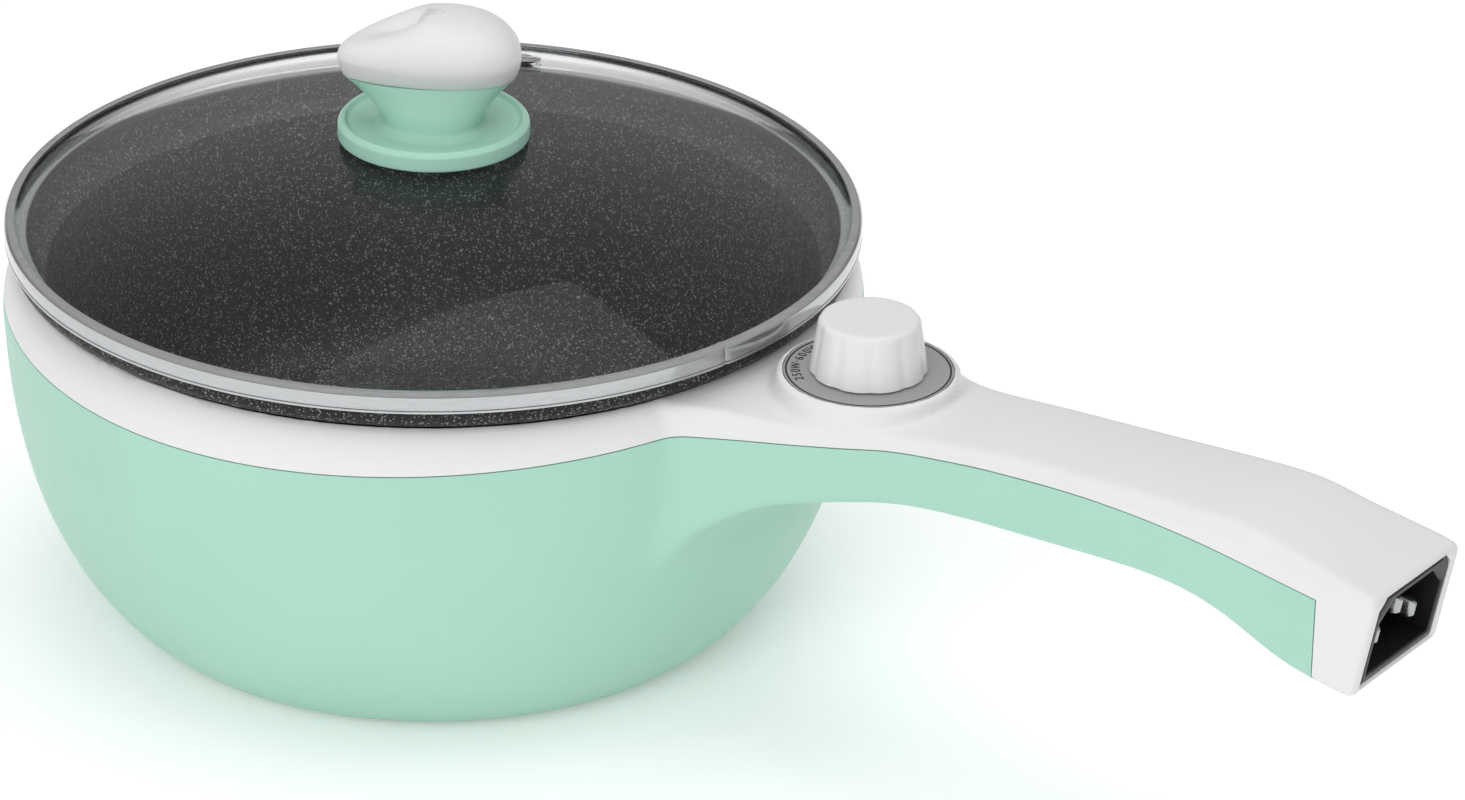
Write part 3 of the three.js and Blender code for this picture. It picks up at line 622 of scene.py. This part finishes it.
def coating(name, color, rough=(0.35, 0.5), sparkle=0.5, cells=2600):
    """Non-stick coating: a dark ground with fine pale flakes."""
    material, tree, bsdf = node_tree(name)
    coord = tree.nodes.new("ShaderNodeTexCoord").outputs["Object"]
    flakes = tree.nodes.new("ShaderNodeTexVoronoi")
    flakes.inputs["Scale"].default_value = cells
    tree.links.new(coord, flakes.inputs["Vector"])
    pick = tree.nodes.new("ShaderNodeSeparateColor")
    tree.links.new(flakes.outputs["Color"], pick.inputs["Color"])
    fleck = ramp(tree, pick.outputs["Red"], [(0.0, 0.0), (0.86, 0.0), (0.97, sparkle)])
    ground = ramp(tree, noise(tree, 60, 4), [(0.3, scaled(color, 0.9)), (0.7, scaled(color, 1.12))])
    mix = tree.nodes.new("ShaderNodeMix")
    mix.data_type = "RGBA"
    tree.links.new(fleck, mix.inputs["Factor"])
    tree.links.new(ground, mix.inputs["A"])
    mix.inputs["B"].default_value = (0.62, 0.62, 0.64, 1)
    tree.links.new(mix.outputs["Result"], bsdf.inputs["Base Color"])
    fine = noise(tree, 500, 3)
    tree.links.new(ramp(tree, fine, [(0.3, rough[0]), (0.7, rough[1])]), bsdf.inputs["Roughness"])
    bsdf.inputs["Specular IOR Level"].default_value = 0.28
    bump(tree, bsdf, [(noise(tree, 1500, 2), 0.3, 0.025)])
    return material


def glass(name):
    material, tree, bsdf = node_tree(name)
    bsdf.inputs["Transmission Weight"].default_value = 1.0
    bsdf.inputs["IOR"].default_value = 1.2
    bsdf.inputs["Roughness"].default_value = 0.0
    tint = ramp(tree, noise(tree, 12, 2), [(0.3, (0.955, 0.972, 0.968)), (0.7, (0.985, 0.995, 0.992))])
    tree.links.new(tint, bsdf.inputs["Base Color"])
    bump(tree, bsdf, [(noise(tree, 18, 2), 0.15, 0.03)])
    return material


looks = {
    "white_plastic": plastic("white_plastic", (0.7, 0.7, 0.7), (0.3, 0.42), 0.012),
    "mint_plastic": plastic("mint_plastic", (0.345, 0.6, 0.485), (0.34, 0.46), 0.018),
    "pot_coating": coating("pot_coating", (0.011, 0.011, 0.012), (0.42, 0.55), 0.3, 3400),
    "lid_steel": metal("lid_steel", (0.5, 0.51, 0.52), (0.1, 0.17), (260, 0.04, 0.01), (1, 1, 14)),
    "lid_glass": glass("lid_glass"),
    "silicone": plastic("silicone", (0.7, 0.72, 0.72), (0.45, 0.6), 0.03),
    "dial_grey": plastic("dial_grey", (0.29, 0.29, 0.29), (0.34, 0.44), 0.02, (2500, 0.2, 0.02)),
    "black_plastic": plastic("black_plastic", (0.008, 0.008, 0.009), (0.4, 0.55), 0.1, (1800, 0.3, 0.04)),
    "plain_steel": metal("plain_steel", (0.42, 0.43, 0.44), (0.2, 0.36)),
    "aluminium": metal("aluminium", (0.6, 0.61, 0.62), (0.3, 0.45), (500, 0.1, 0.02), (1, 1, 1)),
    "foot_rubber": plastic("foot_rubber", (0.03, 0.03, 0.032), (0.7, 0.85), 0.1, (900, 0.4, 0.05)),
    "brass": metal("brass", (0.7, 0.52, 0.25), (0.25, 0.38)),
    "wire_brown": plastic("wire_brown", (0.15, 0.05, 0.02), (0.4, 0.55), 0.06),
    "wire_blue": plastic("wire_blue", (0.03, 0.1, 0.45), (0.4, 0.55), 0.06),
    "wire_green": plastic("wire_green", (0.12, 0.3, 0.04), (0.4, 0.55), 0.06),
}


def piece(obj, body, slot, replaces=()):
    obj.data.materials.clear()
    obj.data.materials.append(looks[slot])
    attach(obj, body)
    if replaces:
        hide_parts(*replaces)


piece(upper, "pot_body", "white_plastic", ["upper_housing"])
piece(lower, "pot_body", "mint_plastic", ["outer_shell"])


# ---------- Inner pot ----------

POT_FLOOR, POT_WALL = 17.5, 1.8
pot_outside = uniform_spline([(62, POT_FLOOR), (71, 20.4), (77, 28), (80.4, 42), (84.6, 78.2)], 60)
pot_inside = offset_line(pot_outside, POT_WALL)[::-1]
flange = fillet(
    [tuple(pot_outside[-1]), (88.3, 81.6), (89.9, 82.2), (90.5, 83.4), (90.5, 85.3), (88.9, 85.3),
     (88.7, 84.0), (87.4, 82.9), (85.2, 79.3), tuple(pot_inside[1])],
    [0, 0.8, 0.5, 0.6, 0.5, 0.4, 0.5, 0.8, 0.25, 0], 4, closed=False)
pot = lathe("pot_pressed", np.concatenate([
    [(0, POT_FLOOR)], pot_outside[:-1], flange, pot_inside[2:-1],
    [(60, POT_FLOOR + POT_WALL), (0, POT_FLOOR + POT_WALL)],
]), 192)
piece(pot, "pot_body", "pot_coating", ["inner_pot"])


# ---------- Lid ----------

GLASS_R, GLASS_EDGE, GLASS_APEX, GLASS_THICK = 90.4, 88.7, top_of("lid_glass"), 2.2
VENT_R_FROM_AXIS = 60
VENT_AZIMUTH = radians(109.5)
rise = GLASS_APEX - GLASS_EDGE
DOME_R = (GLASS_R**2 + rise**2) / (2 * rise)


def dome_z(r):
    return GLASS_APEX - DOME_R + np.sqrt(DOME_R**2 - r**2)


rs = np.linspace(3.2, GLASS_R - 0.5, 60)
glass_profile = np.concatenate([
    np.stack([rs, dome_z(rs)], 1),
    [(GLASS_R, dome_z(GLASS_R - 0.5) - 0.7), (GLASS_R, dome_z(GLASS_R) - 1.5)],
    np.stack([rs, dome_z(rs) - GLASS_THICK], 1)[::-1],
])
lid_glass = lathe("lid_glass_dome", glass_profile, 160)
vent_turn = Matrix.Rotation(VENT_AZIMUTH, 3, "Z") @ Matrix.Rotation(asin(VENT_R_FROM_AXIS / DOME_R), 3, "Y")
vent_place = Vector((
    VENT_R_FROM_AXIS * cos(VENT_AZIMUTH), VENT_R_FROM_AXIS * sin(VENT_AZIMUTH), dome_z(VENT_R_FROM_AXIS)))


def at_vent(name, profile):
    """A profile turned about the line through the steam vent, square to the glass."""
    vertices, faces = lathe_data(profile, 40)
    return new_object(name, [tuple(vent_turn @ Vector(v) + vent_place) for v in vertices], faces)


combine(lid_glass, [("DIFFERENCE", at_vent("vent_hole", [(0, -8), (3, -8), (3, 4), (0, 4)]))])
piece(lid_glass, "lid", "lid_glass", ["lid_glass"])
lid_glass.visible_shadow = False
eyelet_profile = fillet(
    [(1.4, -3.9), (2.6, -3.9), (2.6, 0.4), (4.6, 0.4), (4.3, 1.1), (1.9, 1.3), (1.4, 0.8)],
    [0.2, 0.3, 0.1, 0.2, 0.3, 0.4, 0.2], 3)
piece(at_vent("vent_eyelet", eyelet_profile), "lid", "lid_steel", ["steam_vent_eyelet"])

band_profile = fillet(
    [(91.5, 85.6), (91.5, 86.15), (91.2, 86.25), (91.2, 86.5), (91.5, 86.6), (91.5, 89.3), (90.9, 90),
     (89.25, 90), (89.2, 89.6), (90.7, 88.95), (90.7, 86.3), (86.3, 86.3), (86.3, 84), (87.1, 84),
     (87.1, 85.6)],
    [0.2, 0.06, 0.05, 0.05, 0.1, 0.5, 0.6, 0.12, 0.1, 0.2, 0.3, 0.5, 0.3, 0.3, 0.2], 4)


def crimp(vertices):
    """A narrow groove crosses the band where the ends of its rolled strip meet."""
    a = np.degrees(np.arctan2(vertices[:, 1], vertices[:, 0]))
    r = np.hypot(vertices[:, 0], vertices[:, 1])
    dip = np.exp(-(((a + 11) / 0.35) ** 2)) * 0.35 * (r > 88.5)
    return vertices * np.stack([1 - dip / r, 1 - dip / r, np.ones_like(r)], 1)


piece(lathe("lid_rim_band", band_profile, 720, crimp), "lid", "lid_steel", ["lid_band"])

FLANGE_BOTTOM = bottom_of("lid_knob_base")
CAP_BOTTOM, CAP_TOP = bottom_of("lid_knob_cap"), top_of("lid_knob_cap")
KNOB_TURN = radians(35.5)
LEFT_END_SHIFT = 1.7
NECK_LEVELS, CAP_LEVELS = 30, 44
flange_profile = fillet(
    [(0, FLANGE_BOTTOM + 1.9), (18.4, FLANGE_BOTTOM + 1.9), (18.4, FLANGE_BOTTOM), (20.5, FLANGE_BOTTOM),
     (20.4, FLANGE_BOTTOM + 3.2), (19.5, FLANGE_BOTTOM + 4.2), (18.9, FLANGE_BOTTOM + 4.1),
     (18.2, FLANGE_BOTTOM + 3.3), (12.5, FLANGE_BOTTOM + 2.6), (0, FLANGE_BOTTOM + 2.6)],
    [0, 0.3, 0.3, 0.5, 0.7, 0.25, 0.25, 0.8, 2.0, 0], 6)


def oval_ring(half, depth, z, power=2.0, point=0.0, shift=0.0, fall=0.0, count=96):
    """An oval across the pot's front. point narrows its left end, shift draws it out and fall lowers it."""
    ring = []
    for a in np.arange(count) * 2 * pi / count:
        c, s = cos(a), sin(a)
        u = half * np.sign(c) * abs(c) ** (2 / power)
        v = depth * np.sign(s) * abs(s) ** (2 / power) * (1 + point * u / half)
        across = u - shift * (1 - u / half) / 2
        x = across * cos(KNOB_TURN) - v * sin(KNOB_TURN)
        y = across * sin(KNOB_TURN) + v * cos(KNOB_TURN)
        ring.append((x, y, z - fall * max(-u / half, 0) ** 1.4))
    return ring


knob_base = lathe("lid_knob_base_mint", flange_profile, 160)
neck_line = uniform_spline([
    (12.6, 11.6, FLANGE_BOTTOM + 2.6), (10.9, 10.0, FLANGE_BOTTOM + 3.4), (10.7, 9.5, FLANGE_BOTTOM + 5.0),
    (12.4, 9.3, FLANGE_BOTTOM + 8.2), (15.0, 9.1, FLANGE_BOTTOM + 11.4), (17.5, 8.9, CAP_BOTTOM - 0.15),
], NECK_LEVELS)
neck_rings = []
for i, (half, depth, z) in enumerate(neck_line):
    upwards = i / (NECK_LEVELS - 1)
    neck_rings.append(oval_ring(half, depth, z, 2.3, 0.14 * upwards, LEFT_END_SHIFT * upwards**2))
combine(knob_base, [
    ("UNION", loft("neck", neck_rings)),
    ("DIFFERENCE", rod("screw_hole", 2.3, 100, CAP_BOTTOM - 0.4)),
])
piece(knob_base, "lid", "mint_plastic", ["lid_knob_base"])
cap_line = uniform_spline([
    (17.6, 8.9, CAP_BOTTOM), (18.35, 10.6, CAP_BOTTOM + 1.9), (18.6, 12.0, CAP_BOTTOM + 4.6),
    (17.6, 11.8, CAP_BOTTOM + 8.0), (14.2, 9.8, CAP_BOTTOM + 11.3), (8.5, 6.0, CAP_BOTTOM + 13.4),
    (2.5, 1.8, CAP_TOP),
], CAP_LEVELS)
cap_rings = []
for half, depth, z in cap_line:
    fall = 0.42 * max(z - CAP_BOTTOM - 3.5, 0)
    cap_rings.append(oval_ring(half, depth, z, 2.15, 0.24, LEFT_END_SHIFT, fall))
piece(loft("lid_knob_cap_white", cap_rings), "lid", "white_plastic", ["lid_knob_cap"])


# ---------- Power dial and knob ----------

DIAL_UNDERSIDE = DIAL_TOP - 0.5
PRINT_TOP = DIAL_TOP + 0.04
dial_profile = fillet(
    [(BUSHING_HOLE_R, DIAL_UNDERSIDE), (DIAL_R, DIAL_UNDERSIDE),
     (DIAL_R, DIAL_TOP), (BUSHING_HOLE_R, DIAL_TOP)],
    [0, 0, 0.12, 0], 3)
dial = lathe("dial_disc", dial_profile, 160, at=(DIAL_X, 0, 0))
piece(dial, "pot_body", "dial_grey", ["dial_plate"])
outline_profile = [(16.75, DIAL_TOP), (17.15, DIAL_TOP), (17.15, PRINT_TOP), (16.75, PRINT_TOP)]
piece(lathe("dial_outline", outline_profile, 160, at=(DIAL_X, 0, 0)), "pot_body", "black_plastic")


def letters(name, text, radius, centre, size):
    """Flat raised characters that run clockwise along an arc of the dial, their middle at centre degrees."""
    parts = []
    widths = {"W": 1.25, "·": 0.55}
    advance = [widths.get(c, 0.82) for c in text]
    total = sum(advance)
    run = 0
    for c, w in zip(text, advance):
        along = (run + w / 2 - total / 2) * size * 0.82
        run += w
        angle = radians(centre) - along / radius
        curve = bpy.data.curves.new("glyph", "FONT")
        curve.body = c
        curve.size = size * MM
        curve.extrude = 0.02 * MM
        curve.offset = 0.035 * MM
        curve.align_x = "CENTER"
        curve.align_y = "CENTER"
        glyph = bpy.data.objects.new("glyph", curve)
        scene.collection.objects.link(glyph)
        bpy.context.view_layer.update()
        mesh = bpy.data.meshes.new_from_object(glyph.evaluated_get(bpy.context.evaluated_depsgraph_get()))
        bpy.data.objects.remove(glyph)
        flat = bpy.data.objects.new("glyph_mesh", mesh)
        scene.collection.objects.link(flat)
        place = Vector((DIAL_X + radius * cos(angle), radius * sin(angle), DIAL_TOP + 0.03)) * MM
        flat.matrix_basis = Matrix.Translation(place) @ Matrix.Rotation(angle - pi / 2, 4, "Z")
        parts.append(flat)
    return joined(name, parts)


piece(letters("dial_marks", "250W·600W", 14.9, 203, 2.75), "pot_body", "black_plastic")

LOBES = 10
LOBE_DEPTH = 0.34
knob_side = fillet([(12.15, KNOB_BOTTOM), (10.45, KNOB_TOP), (8, KNOB_TOP)], [0.3, 2.4, 0], 8, closed=False)
knob_profile = np.concatenate([
    [(0, KNOB_BOTTOM)],
    knob_side[:-1],
    [(7, KNOB_TOP - 0.02), (3, KNOB_TOP - 0.1), (0, KNOB_TOP - 0.12)],
])
fine = [knob_profile[0]]
for a, b in zip(knob_profile[:-1], knob_profile[1:]):
    n = max(1, int(np.linalg.norm(b - a) / 1.2))
    fine += [a + (b - a) * (i + 1) / n for i in range(n)]


def lobes(vertices):
    """Shallow upright grooves round the knob's side, between its lobes."""
    a = np.arctan2(vertices[:, 1], vertices[:, 0])
    r = np.hypot(vertices[:, 0], vertices[:, 1])
    pitch = 2 * pi / LOBES
    off = (np.mod(a + radians(17) + pitch / 2, pitch) - pitch / 2) * 11
    groove = np.exp(-((off / 1.25) ** 2)) * np.interp(r, [7.5, 10.4], [0, 1])
    depth = LOBE_DEPTH * groove * np.interp(vertices[:, 2], [KNOB_TOP - 2.5, KNOB_TOP], [1, 0.3])
    scale = np.where(r > 0.01, (r - depth) / np.maximum(r, 0.01), 1)
    return vertices * np.stack([scale, scale, np.ones_like(r)], 1)


knob = lathe("knob_lobed", fine, 240, lobes, at=(DIAL_X, 0, 0))
hollow_top = top_of("switch_shaft") + 0.3
NUB_R_FROM_AXIS = 8.3
NUB_AZIMUTH = radians(128)
nub_place = (
    DIAL_X + NUB_R_FROM_AXIS * cos(NUB_AZIMUTH), NUB_R_FROM_AXIS * sin(NUB_AZIMUTH), KNOB_TOP - 0.45)
nub_profile = fillet([(0, -1.5), (0.95, -1.5), (0.85, 0.45), (0, 0.55)], [0, 0, 0.4, 0], 4)
combine(knob, [
    ("DIFFERENCE", rod("knob_hollow", 9, 80, hollow_top, DIAL_X)),
    ("UNION", rod("hub", 4.6, 88.7, hollow_top + 0.5, DIAL_X)),
    ("DIFFERENCE", rod("shaft_hole", 3.3, 80, hollow_top, DIAL_X)),
    ("UNION", lathe("nub", nub_profile, 32, at=nub_place)),
])
piece(knob, "power_knob", "white_plastic", ["control_knob"])


# ---------- Mains inlet ----------

shroud_rings = ((0, -21), (0, -0.7), (0.4, -0.3), (1.3, -0.3), (1.6, -0.6), (1.6, -16.3))
shroud = loft("inlet_shroud", [inlet_ring(*ring) for ring in shroud_rings])
piece(shroud, "pot_body", "black_plastic", ["inlet_housing"])


def blade(name, y, z):
    """A flat pin with a tapered tip."""
    rings = []
    for x, inset in ((-28, 0), (-3.4, 0), (-2.5, 0.35), (-2.1, 0.7)):
        w, h = 1 - inset, 2 - inset * 0.8
        outline = fillet([(-w, -h), (w, -h), (w, h), (-w, h)], 0.15, 2)
        rings.append(from_inlet([(x, y + a, z + b) for a, b in outline]))
    return loft(name, rings)


for pin, y, z in (("line", -7, -2), ("neutral", 7, -2), ("earth", 0, 2)):
    piece(blade("blade_" + pin, y, z), "pot_body", "plain_steel", ["inlet_pin_" + pin])


# ---------- Finishes of the frame's own pieces ----------

for name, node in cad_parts.items():
    for place in node.material_slots:
        slot_name = place.material.name.split(".")[0] if place.material else ""
        if slot_name in looks:
            place.material = looks[slot_name]


# ---------- Floor, light and camera ----------

reach = 9000
corners = [(-reach, -reach, 0), (reach, -reach, 0), (reach, reach, 0), (-reach, reach, 0)]
floor = new_object("floor", corners, [[0, 1, 2, 3]])
floor.data.materials.append(plastic("floor_paper", (0.96, 0.96, 0.96), (0.8, 0.9), 0.004, (400, 0.02, 0.02)))
floor_glow = floor.data.materials[0].node_tree.nodes["Principled BSDF"]
floor_glow.inputs["Emission Color"].default_value = (1, 1, 1, 1)
floor_glow.inputs["Emission Strength"].default_value = 0.16

world = bpy.data.worlds.new("studio")
scene.world = world
world.use_nodes = True
sky = world.node_tree.nodes["Background"]
sky.inputs["Strength"].default_value = 1.0
direction = world.node_tree.nodes.new("ShaderNodeTexCoord").outputs["Generated"]
split = world.node_tree.nodes.new("ShaderNodeSeparateXYZ")
world.node_tree.links.new(direction, split.inputs["Vector"])
bands = ramp(world.node_tree, split.outputs["Z"], [(0.0, 0.3), (0.12, 0.33), (0.4, 0.56), (1.0, 0.7)])
world.node_tree.links.new(bands, sky.inputs["Color"])


def area_light(name, place, target, size, power):
    data = bpy.data.lights.new(name, "AREA")
    data.shape = "RECTANGLE"
    data.size, data.size_y = size
    data.energy = power
    obj = bpy.data.objects.new(name, data)
    obj.location = place
    obj.rotation_euler = (Vector(target) - Vector(place)).to_track_quat("-Z", "Y").to_euler()
    obj.visible_glossy = False
    scene.collection.objects.link(obj)


area_light("top_light", (0.1, 0.2, 1.5), (0.05, 0, 0.05), (1.3, 1.3), 7.5)
area_light("front_light", (0.5, -1.4, 0.8), (0.05, 0, 0.06), (1.3, 1.0), 12)

azimuth, elevation, roll = radians(35.53), radians(26.23), radians(0.93)
back = Vector((sin(azimuth) * cos(elevation), -cos(azimuth) * cos(elevation), sin(elevation)))
level = Vector((cos(azimuth), sin(azimuth), 0))
upward = back.cross(level)
right = cos(roll) * level + sin(roll) * upward
above = -sin(roll) * level + cos(roll) * upward
place = (1400 * back + 63.69 * right - 41.41 * above + Vector((0, 0, BAND_TOP))) * MM
camera_data = bpy.data.cameras.new("camera")
camera_data.sensor_width = 36
camera_data.lens = 161.06
camera_data.clip_start = 0.05
camera = bpy.data.objects.new("camera", camera_data)
camera.matrix_world = Matrix.Translation(place) @ Matrix((right, above, back)).transposed().to_4x4()
scene.collection.objects.link(camera)
scene.camera = camera
scene.view_settings.view_transform = "Standard"
